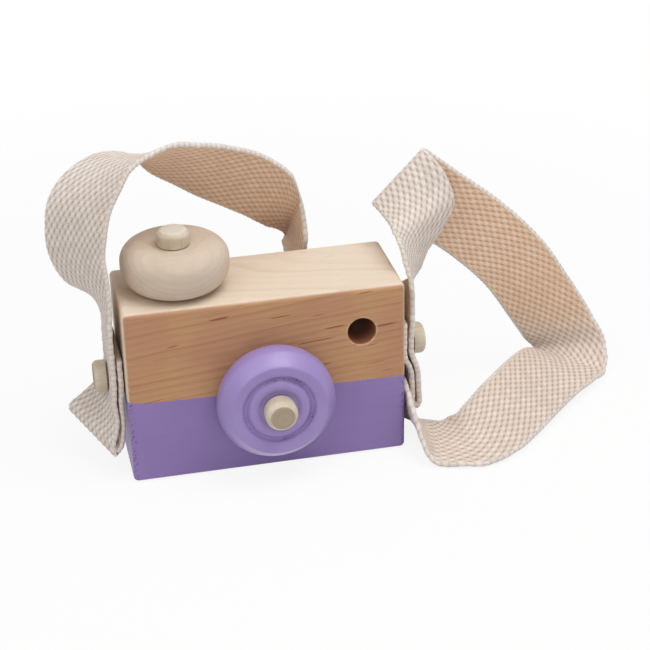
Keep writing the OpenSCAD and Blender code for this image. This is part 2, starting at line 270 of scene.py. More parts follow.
def band_section():
    """Across and thickness of the section's points per ring, with the weave in both faces."""
    ring = np.arange(ring_count)[:, None]
    point = np.arange(face_points)[None, :]
    flat_half = strap_width / 2 - selvedge_round
    spread = (point / (face_points - 1) * 2 - 1) * flat_half
    spread = np.broadcast_to(spread, (ring_count, face_points))
    crown = strap_thick / 2 + nap
    outer = -(crown - hollow_depth * (1 - weave_height(point, ring, 0)))
    inner = crown - hollow_depth * (1 - weave_height(point, ring, 1))
    turn = np.radians(selvedge_turns)[None, :]
    chain = 1 + selvedge_swell * np.cos(2 * np.pi * (ring / rings_per_row) + 2 * turn)
    edge_out = flat_half + selvedge_round * np.cos(turn) * chain
    edge_up = selvedge_round * np.sin(turn) * chain
    across = np.hstack([spread, edge_out, spread[:, ::-1], -edge_out[:, ::-1]])
    through = np.hstack([outer, edge_up, inner[:, ::-1], edge_up[:, ::-1]])
    return across, through


section_across, section_through = band_section()
section_points = section_across.shape[1]
print(f"{section_points} points round the band")

# %% [markdown]
# Each ring of points is laid out at its place on the route. Where the fold runs aslant, the ring
# is not square to the route, so it is lengthened, by a quarter at most, to keep the band's true
# width.

# %% Sweep the band
ring_places = np.interp(np.linspace(0, strap_length, ring_count), run_length, fine_places)
ring_middle, ring_heading = smooth_through(strap_middle, station_gaps, ring_places)
ring_side, _ = smooth_through(strap_across, station_gaps, ring_places)
ring_heading = unit_rows(ring_heading)
ring_side = unit_rows(ring_side)
ring_normal = np.cross(ring_heading, ring_side)
squareness = np.linalg.norm(ring_normal, axis=1)
ring_normal /= squareness[:, None]
least_square = 0.8
ring_side /= np.maximum(least_square, squareness)[:, None]
band_points = (ring_middle[:, None, :]
               + section_across[:, :, None] * ring_side[:, None, :]
               + section_through[:, :, None] * ring_normal[:, None, :])
band_heights = band_points[..., 2] * 1000
print(f"band lies from {band_heights.min():.2f} to {band_heights.max():.1f} mm high")


# %% [markdown]
# The rings become a closed tube of quads, each quad between two neighbouring points of a ring and
# the same two points of the next ring.

# %% Faces of the band
def band_quads():
    """Corner numbers of the band's quads, ring by ring."""
    ring = np.arange(ring_count - 1)[:, None]
    spot = np.arange(section_points)[None, :]
    beside = (spot + 1) % section_points
    start = ring * section_points
    ahead = start + section_points
    corners = [start + spot, start + beside, ahead + beside, ahead + spot]
    return np.stack(corners, axis=-1).reshape(-1, 4)


quads = band_quads()
print(f"{len(quads)} quads round the band")

# %% [markdown]
# Two maps are laid on the band. The first counts bumps across and rows along, so that the
# material can follow the weave. The inner face counts on from a higher number, which tells the
# faces apart.

# %% The weave map
inner_face_start = 20


def bumps_round_the_band():
    """Bump count at the two sides of each quad: outer face, edge, inner face, edge."""
    outer = np.arange(face_points - 1) / points_per_bump
    edge = np.arange(edge_points + 1) / (edge_points + 1)
    inner = inner_face_start + bumps_across - outer
    left = np.concatenate([outer, bumps_across + edge, inner, -edge])
    onward = np.full(len(outer) + len(edge), 1 / points_per_bump)
    return left, left + np.concatenate([onward, -onward])


def weave_map():
    """Bumps across and rows along, for the four corners of every quad."""
    left, right = bumps_round_the_band()
    row = np.arange(ring_count - 1)[:, None] / rings_per_row
    across = np.stack([left, right, right, left], axis=-1)
    across = np.broadcast_to(across, (ring_count - 1, section_points, 4))
    along = row[:, :, None] + np.array([0, 0, 1, 1]) / rings_per_row
    along = np.broadcast_to(along, across.shape)
    return np.stack([across, along], axis=-1).reshape(-1, 2)


weave_places = weave_map()
most_bumps, most_rows = weave_places.max(axis=0)
print(f"weave map up to {most_bumps:.0f} bumps and {most_rows:.0f} rows")

# %% [markdown]
# The second map cuts the band into eight flat strips that lie side by side, so that its colours
# can be baked without stretching. A shelf above the strips is kept for the two cut ends.

# %% The strip map
strip_count = 8
strip_columns = 2
strip_margin = 0.006
cap_shelf = 0.04


def strip_map():
    """Places on the flat strips, for the four corners of every quad."""
    ring = np.arange(ring_count - 1)
    strip = ring * strip_count // (ring_count - 1)
    first = np.searchsorted(strip, np.arange(strip_count + 1))
    along = (ring - first[strip])[:, None] + np.array([0, 0, 1, 1])
    along = along / (first[strip + 1] - first[strip])[:, None]
    around = (np.arange(section_points)[:, None] + np.array([0, 1, 1, 0])) / section_points
    wide = 1 / strip_columns
    high = (1 - cap_shelf) / (strip_count // strip_columns)
    column, shelf = strip % strip_columns, strip // strip_columns
    u = column[:, None] * wide + strip_margin + along * (wide - 2 * strip_margin)
    v = shelf[:, None, None] * high + strip_margin + around[None] * (high - 2 * strip_margin)
    u = np.broadcast_to(u[:, None, :], (ring_count - 1, section_points, 4))
    return np.stack([u, v], axis=-1).reshape(-1, 2)


strip_places = strip_map()
print(f"{strip_count} strips, {len(strip_places)} corners")


# %% [markdown]
# The two cut ends are closed, so that the band is solid. A cut end is a narrow strip: the points
# of the outer face are joined to those of the inner face, and each rounded edge gets one small
# face.

# %% Close the cut ends
def cap_faces(ring, forward):
    """Quads and two end pieces that close the band at one ring."""
    start = ring * section_points
    partner = lambda p: start + 2 * face_points + edge_points - 1 - p
    faces = [(start + p, start + p + 1, partner(p + 1), partner(p)) for p in range(face_points - 1)]
    faces.append(tuple(start + face_points - 1 + k for k in range(edge_points + 2)))
    second_edge = start + 2 * face_points + edge_points
    faces.append((start, partner(0), *(second_edge + k for k in range(edge_points))))
    return faces if forward else [face[::-1] for face in faces]


def cap_map(faces, ring, column):
    """Places of a cap's corners on the shelf above the strips, lying as they lie in the section."""
    spots = np.concatenate([np.array(face) for face in faces]) - ring * section_points
    cap_wide, cap_high, cap_inset = 0.44, cap_shelf * 0.35, 0.03
    u = (section_across[ring, spots] / strap_width + 0.5) * cap_wide + cap_inset
    v = 1 - cap_shelf / 2 + section_through[ring, spots] / strap_thick * cap_high
    return np.stack([u + column / strip_columns, v], axis=-1)


start_cap = cap_faces(0, False)
end_cap = cap_faces(ring_count - 1, True)
cap_places = [cap_map(start_cap, 0, 0), cap_map(end_cap, ring_count - 1, 1)]
cap_weave = np.zeros((sum(len(places) for places in cap_places), 2))
print(f"{len(start_cap) + len(end_cap)} faces at the cut ends")


# %% [markdown]
# Now the mesh is put together, with both maps. It rides on the camera's body and stands for the
# frame's stiff strap.

# %% Make the strap
def link_piece(name, mesh):
    """An object for a mesh, in the scene."""
    piece = bpy.data.objects.new(name, mesh)
    bpy.context.scene.collection.objects.link(piece)
    return piece


strap_mesh = bpy.data.meshes.new("neck_strap")
strap_faces = quads.tolist() + start_cap + end_cap
strap_mesh.from_pydata(band_points.reshape(-1, 3).tolist(), [], strap_faces)
band_maps = {"weave": [weave_places, cap_weave], "OFBake": [strip_places, *cap_places]}
for map_name, places in band_maps.items():
    layer = strap_mesh.uv_layers.new(name=map_name)
    layer.uv.foreach_set("vector", np.concatenate(places).astype(np.float32).ravel())
strap_mesh.shade_smooth()
neck_strap = link_piece("neck_strap", strap_mesh)
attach(neck_strap, "camera")
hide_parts("strap")
print(f"strap mesh: {len(strap_mesh.polygons)} faces, valid {not strap_mesh.validate()}")

# %% [markdown]
# ## Turned pieces
# The wheels and the pegs are turned on a lathe, so each is an outline spun round an axis. A
# turner eases every corner with sandpaper, so the outline is written as a few corners with a
# rounding, and a helper draws the eased curve. The local Z axis of each piece is its own turning
# axis, so the grain and the rings of its finish can be laid out from that axis.

# %% Ease an outline
most_easing = 0.49


def eased(corners, steps=6):
    """Outline through corners (radius, height, rounding), each eased over its rounding."""
    outline = []
    for i, (radius, height, rounding) in enumerate(corners):
        here = Vector((radius, height))
        if rounding == 0:
            outline.append(here)
            continue
        back = Vector(corners[i - 1][:2]) - here
        ahead = Vector(corners[(i + 1) % len(corners)][:2]) - here
        first = here + back.normalized() * min(rounding, back.length * most_easing)
        last = here + ahead.normalized() * min(rounding, ahead.length * most_easing)
        for k in range(steps + 1):
            t = k / steps
            outline.append((1 - t)**2 * first + 2 * t * (1 - t) * here + t**2 * last)
    return outline


def arc(radius, height, bend, start, end, count):
    """Points of an arc about (radius, height), as corners without rounding."""
    angles = [math.radians(start + (end - start) * k / count) for k in range(count + 1)]
    return [(radius + bend * math.cos(a), height + bend * math.sin(a), 0) for a in angles]


# %% [markdown]
# The spun outline is welded where its points meet on the axis. It is shaded smooth, with a hard
# edge only where two faces meet at more than a given angle, so a rounded rim shows no facets.

# %% Turn an outline
sharp_corner = math.radians(38)
weld_gap = 1e-7


def turned_mesh(name, outline, segments, hollow):
    """Spins an outline round Z; a hollow piece's outline closes on itself round a bore."""
    shape = bmesh.new()
    angles = [2 * math.pi * k / segments for k in range(segments)]
    ribs = [[shape.verts.new((r * math.cos(a), r * math.sin(a), h)) for r, h in outline]
            for a in angles]
    last = len(outline) if hollow else len(outline) - 1
    for k, rib in enumerate(ribs):
        beside = ribs[(k + 1) % segments]
        for i in range(last):
            j = (i + 1) % len(outline)
            shape.faces.new((rib[i], beside[i], beside[j], rib[j]))
    bmesh.ops.remove_doubles(shape, verts=shape.verts, dist=weld_gap)
    bmesh.ops.recalc_face_normals(shape, faces=shape.faces)
    mesh = bpy.data.meshes.new(name)
    shape.to_mesh(mesh)
    shape.free()
    mesh.shade_smooth()
    mesh.set_sharp_from_angle(angle=sharp_corner)
    return mesh


def standing_on(point, axis):
    """Matrix of a piece whose origin is at a point and whose Z axis runs along axis."""
    return Matrix.Translation(point) @ Vector(axis).to_track_quat("Z", "Y").to_matrix().to_4x4()


def millimetres(corners):
    """Corners given in millimetres, in metres."""
    return [tuple(x / 1000 for x in corner) for corner in corners]


joints = {joint["name"]: joint for joint in frame["joints"]}
shank_radius = 3.0
running_play = 0.08
bore_radius = shank_radius + running_play
print("joints:", sorted(joints))

# %% [markdown]
# ## The lens wheel
# The lens is a fat wooden wheel with a crowned tread. Its face is turned in steps: a slanted
# front edge, a ring that slopes in, a soft groove, a low hub and a dish for the peg's head. Its
# radius and thickness come from the frame, and the heights below are measured from its back.

# %% Turn the lens wheel
lens_low, lens_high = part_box("lens_wheel")
lens_radius = (lens_high.x - lens_low.x) / 2 * 1000
lens_thick = (lens_high.y - lens_low.y) * 1000
lens_segments = 160
tread_bend, tread_start, tread_end, tread_steps = 9, -46, 15, 20
lens_tread = arc(lens_radius - tread_bend, lens_thick / 2, tread_bend,
                 tread_start, tread_end, tread_steps)
lens_face = [
    (15.3, lens_thick, 0.5),
    (11.9, lens_thick - 0.5, 0.8),
    (11.1, lens_thick - 1.65, 0.6),
    (10.4, lens_thick - 1.65, 0.6),
    (9.6, lens_thick - 0.7, 0.7),
    (8.7, lens_thick - 0.35, 0.8),
    (7.5, lens_thick - 0.4, 0.5),
    (6.6, lens_thick - 0.8, 0.5),
    (6.1, lens_thick - 1.2, 0.4),
    (bore_radius, lens_thick - 1.2, 0.2),
]
lens_corners = [(bore_radius, 0, 0.3), *lens_tread, *lens_face]
lens_outline = eased(millimetres(lens_corners))
lens_mesh = turned_mesh("lens_wheel_turned", lens_outline, lens_segments, True)
lens_piece = link_piece("lens_wheel_turned", lens_mesh)
lens_piece.matrix_world = standing_on(joints["lens_spin"]["pos_m"], joints["lens_spin"]["axis"])
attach(lens_piece, "lens")
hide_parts("lens_wheel")
print(f"lens wheel {2 * lens_radius:.1f} mm across, {lens_thick:.1f} mm thick")

# %% [markdown]
# ## The dial wheel
# The dial on top is a bun of bare wood: a rim so round that it is nearly a ring, a tighter
# shoulder above it, and a top that dips a little towards the peg.

# %% Turn the dial wheel
dial_low, dial_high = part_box("dial_wheel")
dial_radius = (dial_high.x - dial_low.x) / 2 * 1000
dial_thick = (dial_high.z - dial_low.z) * 1000
dial_segments = 144
rim_bend = 7.4
rim_middle = dial_radius - rim_bend
shoulder_bend, shoulder_end = 5.8, 84
arc_steps = 14
crest = dial_thick - 0.8
dial_corners = [
    (bore_radius, 0, 0.3),
    *arc(rim_middle, rim_bend, rim_bend, -90, 0, arc_steps),
    *arc(dial_radius - shoulder_bend, crest - shoulder_bend, shoulder_bend,
         0, shoulder_end, arc_steps),
    (9.2, crest - 0.3, 1.6),
    (6.6, dial_thick - 1.95, 0.8),
    (bore_radius, dial_thick - 2, 0.2),
]
dial_outline = eased(millimetres(dial_corners))
dial_mesh = turned_mesh("dial_wheel_turned", dial_outline, dial_segments, True)
dial_piece = link_piece("dial_wheel_turned", dial_mesh)
dial_piece.matrix_world = standing_on(joints["dial_spin"]["pos_m"], joints["dial_spin"]["axis"])
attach(dial_piece, "dial")
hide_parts("dial_wheel")
print(f"dial wheel {2 * dial_radius:.1f} mm across, {dial_thick:.1f} mm thick")

# %% [markdown]
# ## The pegs
# Four mushroom pegs hold everything: a 6 mm shank glued into the block and a wider head with a
# sanded shoulder. They share one outline, and only its lengths differ, so a loop turns them all.
# The table gives the direction each peg points in, the height of its head and the width of its
# shoulder.

# %% Turn the pegs
head_radius = 5.2
foot_chamfer = 0.5
peg_heads = {
    "lens_peg": ((0, -1, 0), 5.6, 1.3),
    "dial_peg": ((0, 0, 1), 5.0, 1.0),
    "strap_peg_left": ((-1, 0, 0), 4.0, 0.9),
    "strap_peg_right": ((1, 0, 0), 4.0, 0.9),
}


def peg_outline(shank, head, shoulder):
    """Half section of a peg, from the foot of its shank up to the middle of its head."""
    return eased(millimetres([
        (0, -shank, 0),
        (shank_radius - foot_chamfer, -shank, 0),
        (shank_radius, foot_chamfer - shank, 0.2),
        (shank_radius, 0, 0),
        (head_radius, 0, 0.35),
        (head_radius, head - shoulder, 0.8),
        (head_radius - shoulder, head, 0.5),
        (head_radius - shoulder - 1, head, 0),
        (0, head, 0),
    ]))


peg_segments = 72
peg_pieces = {}
for node_name, (axis, head, shoulder) in peg_heads.items():
    low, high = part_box(node_name)
    middle, axis = (low + high) / 2, Vector(axis)
    length = abs((high - low).dot(axis)) * 1000
    seat = middle + axis * (length / 2 - head) / 1000
    outline = peg_outline(length - head, head, shoulder)
    piece_name = node_name + "_turned"
    peg = link_piece(piece_name, turned_mesh(piece_name, outline, peg_segments, False))
    peg.matrix_world = standing_on(seat, axis)
    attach(peg, "camera")
    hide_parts(node_name)
    peg_pieces[node_name] = peg
    print(f"{node_name}: {length:.1f} mm long, head seat at {[round(x * 1000, 1) for x in seat]}")

# %% [markdown]
# ## The block
# The body is one block of pine with its edges sanded round, a viewfinder hole right through it
# and a blind hole for each peg. A cube with bevelled edges gives the block, and the drills are
# turned pieces that a boolean takes away. The viewfinder's rim is eased a little, as a drilled
# hole is sanded.

# %% Drills for the block
block_low, block_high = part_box("body_block")
block_size = block_high - block_low
block_middle = (block_low + block_high) / 2
edge_round = 0.0016
glue_play = 0.05
peg_depth = 14
peg_hole_easing = 0.1
drill_segments = 96
finder_radius = 4.5
finder_easing = 0.35
finder_at = Vector((0.0307, 0, 0.045))


def drill_mesh(name, radius, depth, easing, through):
    """A drill that enters at z = 0 and goes down, flaring where it meets a surface."""
    mouth = [(radius, -easing, 0), (radius + easing, 0, 0),
             (radius + 2 * easing, easing, 0), (0, easing, 0)]
    foot = [(0, -depth, 0), (radius, -depth, 0)]
    if through:
        foot = [(r, -depth - h, 0) for r, h, _ in reversed(mouth)]
    return turned_mesh(name, eased(millimetres(foot + mouth)), drill_segments, False)


def drilled(target, drills):
    """Takes the drills out of a piece and removes them."""
    for drill in drills:
        cut = target.modifiers.new(drill.name, "BOOLEAN")
        cut.operation = "DIFFERENCE"
        cut.solver = "EXACT"
        cut.object = drill
    bpy.context.view_layer.update()
    done = target.evaluated_get(bpy.context.evaluated_depsgraph_get())
    mesh = bpy.data.meshes.new_from_object(done)
    target.modifiers.clear()
    target.data = mesh
    for drill in drills:
        bpy.data.objects.remove(drill)


print(f"viewfinder {2 * finder_radius:.1f} mm across, peg holes {peg_depth} mm deep")

# %% [markdown]
# The drills stand where the pegs and the viewfinder are, each with its axis square to the face
# that it enters. After the cuts, the flat faces get even normals, so the sanded edges catch the
# light without dents of shade beside them.

# %% Cut and drill the block
block_shape = bmesh.new()
bmesh.ops.create_cube(block_shape, size=1,
                      matrix=Matrix.Translation(block_middle) @ Matrix.Diagonal((*block_size, 1)))
bmesh.ops.bevel(block_shape, geom=block_shape.edges[:], offset=edge_round, segments=6, profile=0.5,
                affect="EDGES")
block_mesh = bpy.data.meshes.new("pine_block")
block_shape.to_mesh(block_mesh)
block_shape.free()
block = link_piece("pine_block", block_mesh)
drills = []
for node_name, (axis, _, _) in peg_heads.items():
    axis = Vector(axis)
    peg_line = peg_pieces[node_name].matrix_world.translation - block_middle
    half_depth = abs(block_size.dot(axis)) / 2
    face_point = block_middle + peg_line - axis * (peg_line.dot(axis) - half_depth)
    drill_shape = drill_mesh("drill", shank_radius + glue_play, peg_depth, peg_hole_easing, False)
    drill = link_piece("drill_" + node_name, drill_shape)
    drill.matrix_world = standing_on(face_point, axis)
    drills.append(drill)
finder_shape = drill_mesh("drill", finder_radius, block_size.y * 1000, finder_easing, True)
finder_drill = link_piece("drill_finder", finder_shape)
finder_drill.matrix_world = standing_on((finder_at.x, block_low.y, finder_at.z), (0, -1, 0))
drills.append(finder_drill)
drilled(block, drills)
block.data.shade_smooth()
block.data.set_sharp_from_angle(angle=sharp_corner)
even_light = block.modifiers.new("even_light", "WEIGHTED_NORMAL")
even_light.keep_sharp = True
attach(block, "camera")
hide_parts("body_block")
print(f"block: {[round(x * 1000, 1) for x in block_size]} mm, {len(block.data.polygons)} faces")


# %% [markdown]
# ## Finishes
# Every finish is built from shader nodes that are laid out by place in the piece. A picture laid
# on the outside would break at each edge, but grain that is worked out in space runs through an
# edge as it does in real wood. A few helpers keep the recipes short. These add a node, fill its
# sockets and do sums.

# %% Helpers that add nodes
def colour(code):
    """A screen colour such as #8e77ae, as the linear values that a shader takes."""
    parts = [int(code[i:i + 2], 16) / 255 for i in (1, 3, 5)]
    return (*[p / 12.92 if p <= 0.04045 else ((p + 0.055) / 1.055)**2.4 for p in parts], 1)


def fill(tree, node, sockets):
    """Fills a node's sockets with values or with the outputs of other nodes."""
    for socket, value in sockets.items():
        if isinstance(value, bpy.types.NodeSocket):
            tree.links.new(value, node.inputs[socket])
        else:
            node.inputs[socket].default_value = value
    return node


def put(tree, kind, sockets, **settings):
    """Adds a node with its choices set and its sockets filled."""
    node = tree.nodes.new(kind)
    for setting, value in settings.items():
        setattr(node, setting, value)
    return fill(tree, node, sockets)


def sums(tree, operation, *values):
    """The result of one sum on one, two or three values."""
    return put(tree, "ShaderNodeMath", dict(enumerate(values)), operation=operation).outputs[0]


def times(tree, first, second):
    """The product of two values."""
    return sums(tree, "MULTIPLY", first, second)


print("lavender in linear values:", [round(part, 3) for part in colour("#8b76ae")])


# %% [markdown]
# These shape what a recipe reads: a soft step between two limits, a soft band, a mix of two
# colours, a stretched point, the parts of a direction, the distance from an axis and a cloud of
# soft noise.

# %% Helpers that shape values
def eased_step(tree, value, start, end, low=0.0, high=1.0):
    """A value that goes smoothly from low to high as another goes from start to end."""
    sockets = {"Value": value, "From Min": start, "From Max": end, "To Min": low, "To Max": high}
    return put(tree, "ShaderNodeMapRange", sockets, interpolation_type="SMOOTHSTEP").outputs[0]


def soft_band(tree, value, rise, fall):
    """A value that is 1 between a rise and a fall, each given by where it starts and ends."""
    return times(tree, eased_step(tree, value, *rise), eased_step(tree, value, *fall, 1.0, 0.0))


def mixed(tree, share, first, second):
    """A colour that goes from first to second with the share."""
    return put(tree, "ShaderNodeMix", {0: share, 6: first, 7: second}, data_type="RGBA").outputs[2]


def stretched(tree, point, scale):
    """A point with each direction scaled by itself."""
    return put(tree, "ShaderNodeVectorMath", {0: point, 1: scale}, operation="MULTIPLY").outputs[0]


def parts_of(tree, point):
    """The three parts of a point or a direction."""
    return put(tree, "ShaderNodeSeparateXYZ", {0: point}).outputs


def away_from_axis(tree, first, second):
    """The distance from an axis, worked out from two distances square to it."""
    return sums(tree, "SQRT", sums(tree, "MULTIPLY_ADD", first, first, times(tree, second, second)))


def cloud(tree, point, scale, detail=2.0):
    """Soft noise from 0 to 1, about 0.5 in the middle."""
    sockets = {"Vector": point, "Scale": scale, "Detail": detail}
    return put(tree, "ShaderNodeTexNoise", sockets).outputs[0]


# %% [markdown]
# The last helpers start a material, read the piece's own coordinates and the way its surface
# faces, turn a height into a bump, and make a node group and place it. A group is a recipe that
# several materials share, each with its own values.

# %% Helpers for materials and groups
number, place = "NodeSocketFloat", "NodeSocketVector"


def new_finish(name):
    """A material, its node tree and its shader."""
    material = bpy.data.materials.new(name)
    material.use_nodes = True
    return material, material.node_tree, material.node_tree.nodes["Principled BSDF"]


def local_millimetres(tree):
    """The piece's own coordinates, in millimetres."""
    own = put(tree, "ShaderNodeTexCoord", {}).outputs["Object"]
    return stretched(tree, own, (1000, 1000, 1000))


def own_facing(tree):
    """How far the surface faces along each of the piece's own axes."""
    return parts_of(tree, put(tree, "ShaderNodeTexCoord", {}).outputs["Normal"])


def relief(tree, shader, height, depth):
    """Gives the shader a bump whose height from 0 to 1 stands for a depth in metres."""
    bump = put(tree, "ShaderNodeBump", {"Height": height, "Distance": depth, "Strength": 1.0})
    fill(tree, shader, {"Normal": bump.outputs[0]})


def group_of(name, takes, gives):
    """A node group: the group, the sockets of what it takes and the node of what it gives."""
    group = bpy.data.node_groups.new(name, "ShaderNodeTree")
    for way, sockets in (("INPUT", takes), ("OUTPUT", gives)):
        for socket, kind in sockets.items():
            group.interface.new_socket(name=socket, in_out=way, socket_type=kind)
    print("group:", name, "takes", list(takes), "and gives", list(gives))
    return group, group.nodes.new("NodeGroupInput").outputs, group.nodes.new("NodeGroupOutput")


def placed(tree, group, sockets):
    """Outputs of a node group placed in a material."""
    return put(tree, "ShaderNodeGroup", sockets, node_tree=group).outputs


# %% [markdown]
# ## Wood grain, for every wooden piece
# A tree adds a ring each year: wide pale early wood, then a thin darker line of late wood that
# ends sharply. A board cuts through these nested tubes, and that draws the lines on its faces.
# The group measures the distance of a point from the tree's heart, wavers it a little and turns
# it into rings. It also gives fine fibres along the grain and short dark resin flecks. The grain
# runs along X.

# %% The wood grain group
wood_grain, took, gave = group_of(
    "wood grain", {"Grain point": place, "Ring width": number, "Waver": number},
    {"Late wood": number, "Fibre": number, "Fleck": number})
tree = wood_grain
point = took["Grain point"]
slow_point = stretched(tree, point, (0.012, 0.05, 0.05))
sway = sums(tree, "SUBTRACT", cloud(tree, slow_point, 1.0), 0.5)
waver = times(tree, sway, took["Waver"])
_, beside_heart, above_heart = parts_of(tree, point)
heart = away_from_axis(tree, beside_heart, above_heart)
year = sums(tree, "DIVIDE", sums(tree, "ADD", heart, waver), took["Ring width"])
season = sums(tree, "FRACT", year)
harvest = put(tree, "ShaderNodeTexWhiteNoise", {"W": sums(tree, "FLOOR", year)},
              noise_dimensions="1D").outputs["Value"]
ring_line = soft_band(tree, season, (0.35, 0.93), (0.94, 1.0))
ring_strength = eased_step(tree, harvest, 0, 1, 0.35, 1.0)
fibre_point = stretched(tree, point, (0.10, 2.6, 2.6))
fleck_point = stretched(tree, point, (0.055, 0.9, 0.9))
fleck_cloud = cloud(tree, fleck_point, 1.0, 1.0)
fill(tree, gave, {
    "Late wood": times(tree, ring_line, ring_strength),
    "Fibre": cloud(tree, fibre_point, 1.0, 3.0),
    "Fleck": eased_step(tree, fleck_cloud, 0.70, 0.76),
})


def grained(tree, own, heart_at, lean, ring_width, waver):
    """The wood grain in a piece, with the tree's heart moved and leant."""
    sockets = {"Vector": own, "Location": heart_at, "Rotation": lean}
    grain_point = put(tree, "ShaderNodeMapping", sockets).outputs[0]
    return placed(tree, wood_grain,
                  {"Grain point": grain_point, "Ring width": ring_width, "Waver": waver})


# %% [markdown]
# ## Uneven tone, for paint, wood and cotton
# No hand-made surface has one even tone. This group gives a slow cloud for drifts of colour and a
# fine one for mottling, both centred on zero, so that a finish can lighten and darken itself.

# %% The uneven tone group
uneven_tone, took, gave = group_of("uneven tone", {"Point": place, "Drift size": number},
                                   {"Drift": number, "Mottle": number})
tree = uneven_tone
shrink = sums(tree, "DIVIDE", 1.0, took["Drift size"])
drift_point = put(tree, "ShaderNodeVectorMath", {0: took["Point"], 3: shrink},
                  operation="SCALE").outputs[0]
drift_cloud = cloud(tree, drift_point, 1.0)
mottle_cloud = cloud(tree, took["Point"], 1.3, 3.0)
fill(tree, gave, {
    "Drift": sums(tree, "SUBTRACT", drift_cloud, 0.5),
    "Mottle": sums(tree, "SUBTRACT", mottle_cloud, 0.5),
})


def toned(tree, own, drift_size):
    """The uneven tone in a piece, with drifts of a size in millimetres."""
    return placed(tree, uneven_tone, {"Point": own, "Drift size": drift_size})


def drifted(tree, tone, first, second, low=-0.2, high=0.2):
    """A colour that drifts between two screen colours."""
    return mixed(tree, eased_step(tree, tone["Drift"], low, high), colour(first), colour(second))


# %% [markdown]
# ## The block's finish: planed pine, lower half dipped in paint
# The front and back get darker, warmer colours than the top and the sides, as painted shade for
# the faces turned away from the light above. The grain shows its rings far apart on the front and
# back, and the top and the sides cut the rings closer to square and show them finely lined. Two
# pairs of colours, mixed by the way the surface faces, give both from one grain.

# %% Bare pine
pine, tree, shader = new_finish("pine_and_paint")
own = local_millimetres(tree)
heart_at = (0, -45, 60)
grain_lean = (0, math.radians(6), 0)
wood = grained(tree, own, heart_at, grain_lean, 2.0, 5.0)
tone = toned(tree, own, 24.0)
# painted shade: faces turned front or back get darker, warmer wood colours below
facing_front_or_back = eased_step(tree, sums(tree, "ABSOLUTE", own_facing(tree)[1]), 0.35, 0.9)
warm = drifted(tree, tone, "#c0956c", "#b98a6a", -0.14, 0.16)
early = mixed(tree, facing_front_or_back, colour("#e2d2c0"), warm)
late = mixed(tree, facing_front_or_back, colour("#d6bfa4"), colour("#a4714f"))
bare = mixed(tree, times(tree, wood["Late wood"], 0.55), early, late)
bare = mixed(tree, eased_step(tree, wood["Fibre"], 0.42, 0.72, 0.0, 0.30), bare, late)
fleck_share = times(tree, wood["Fleck"], eased_step(tree, facing_front_or_back, 0, 1, 0.15, 0.8))
bare = mixed(tree, fleck_share, bare, colour("#84492f"))
print("bare pine:", len(tree.nodes), "nodes")

# %% [markdown]
# The paint ends in a hand-masked line that falls a little to the right, wavers, and steps up at
# the far left. The grain only just shows through it, and it has chipped along the upright edges.
# The mask is worked out from the height over that line, so paint and wood meet without a seam in
# the mesh.

# %% Paint on the lower half
line_height, line_slope, step_height = 27.9, -0.018, 0.5
across, into, up = parts_of(tree, own)
line_fall = sums(tree, "MULTIPLY_ADD", across, line_slope, line_height)
line_waver = times(tree, tone["Mottle"], 0.9)
line_step = eased_step(tree, across, -42.5, -40.5, step_height, 0.0)
paint_line = sums(tree, "ADD", sums(tree, "ADD", line_fall, line_waver), line_step)
painted = eased_step(tree, sums(tree, "SUBTRACT", paint_line, up), -0.12, 0.12)
grain_through = eased_step(tree, wood["Late wood"], 0, 1, 0.0, 0.10)
lavender = drifted(tree, tone, "#8b76ae", "#9079b1")
lavender = mixed(tree, grain_through, lavender, colour("#7b66a2"))
near_side = eased_step(tree, sums(tree, "ABSOLUTE", across), 42.6, 44.3)
near_front = eased_step(tree, sums(tree, "ABSOLUTE", into), 14.5, 16.5)
near_edge = times(tree, near_side, near_front)
chipped = times(tree, near_edge, eased_step(tree, tone["Mottle"], 0.06, 0.12))
lavender = mixed(tree, times(tree, chipped, 0.75), lavender, colour("#4f3d6e"))
print("with paint:", len(tree.nodes), "nodes")

# %% [markdown]
# The wall of the viewfinder is painted dark, as painted shade inside the hole, and a drill tears
# pale fibres at its rim, so both are masks by the distance from the hole's axis. Paint fills the
# pores, so the painted part is smoother and glossier, and it stands a little higher than the wood.

# %% The viewfinder's rim, the gloss and the pores
beside_finder = sums(tree, "SUBTRACT", across, finder_at.x * 1000)
above_finder = sums(tree, "SUBTRACT", up, finder_at.z * 1000)
from_finder = away_from_axis(tree, beside_finder, above_finder)
rim_rise = (finder_radius + 0.2, finder_radius + 0.4)
rim_fall = (finder_radius + 0.5, finder_radius + 0.9)
torn_rim = times(tree, soft_band(tree, from_finder, rim_rise, rim_fall),
                 eased_step(tree, tone["Mottle"], -0.1, 0.1, 0.0, 0.55))
# painted shade: the wall inside the viewfinder hole is darkened
finder_wall_shade = eased_step(tree, from_finder, finder_radius + 0.05, finder_radius + 0.35, 1.0, 0.0)
bare = mixed(tree, torn_rim, bare, colour("#dcbf9f"))
# painted shade inside the viewfinder hole, a deep brown
bare = mixed(tree, times(tree, finder_wall_shade, 0.92), bare, colour("#864524"))
rough = sums(tree, "MULTIPLY_ADD", painted, -0.20, 0.62)
pores = times(tree, wood["Fibre"], eased_step(tree, painted, 0, 1, 0.45, 0.12))
paint_film = times(tree, painted, 0.5)
relief(tree, shader, sums(tree, "ADD", pores, paint_film), 0.00009)
fill(tree, shader, {
    "Base Color": mixed(tree, painted, bare, lavender),
    "Roughness": sums(tree, "MULTIPLY_ADD", tone["Mottle"], 0.18, rough),
    "Specular IOR Level": 0.35,
})
block.data.materials.append(pine)
print("finish:", pine.name, len(tree.nodes), "nodes")
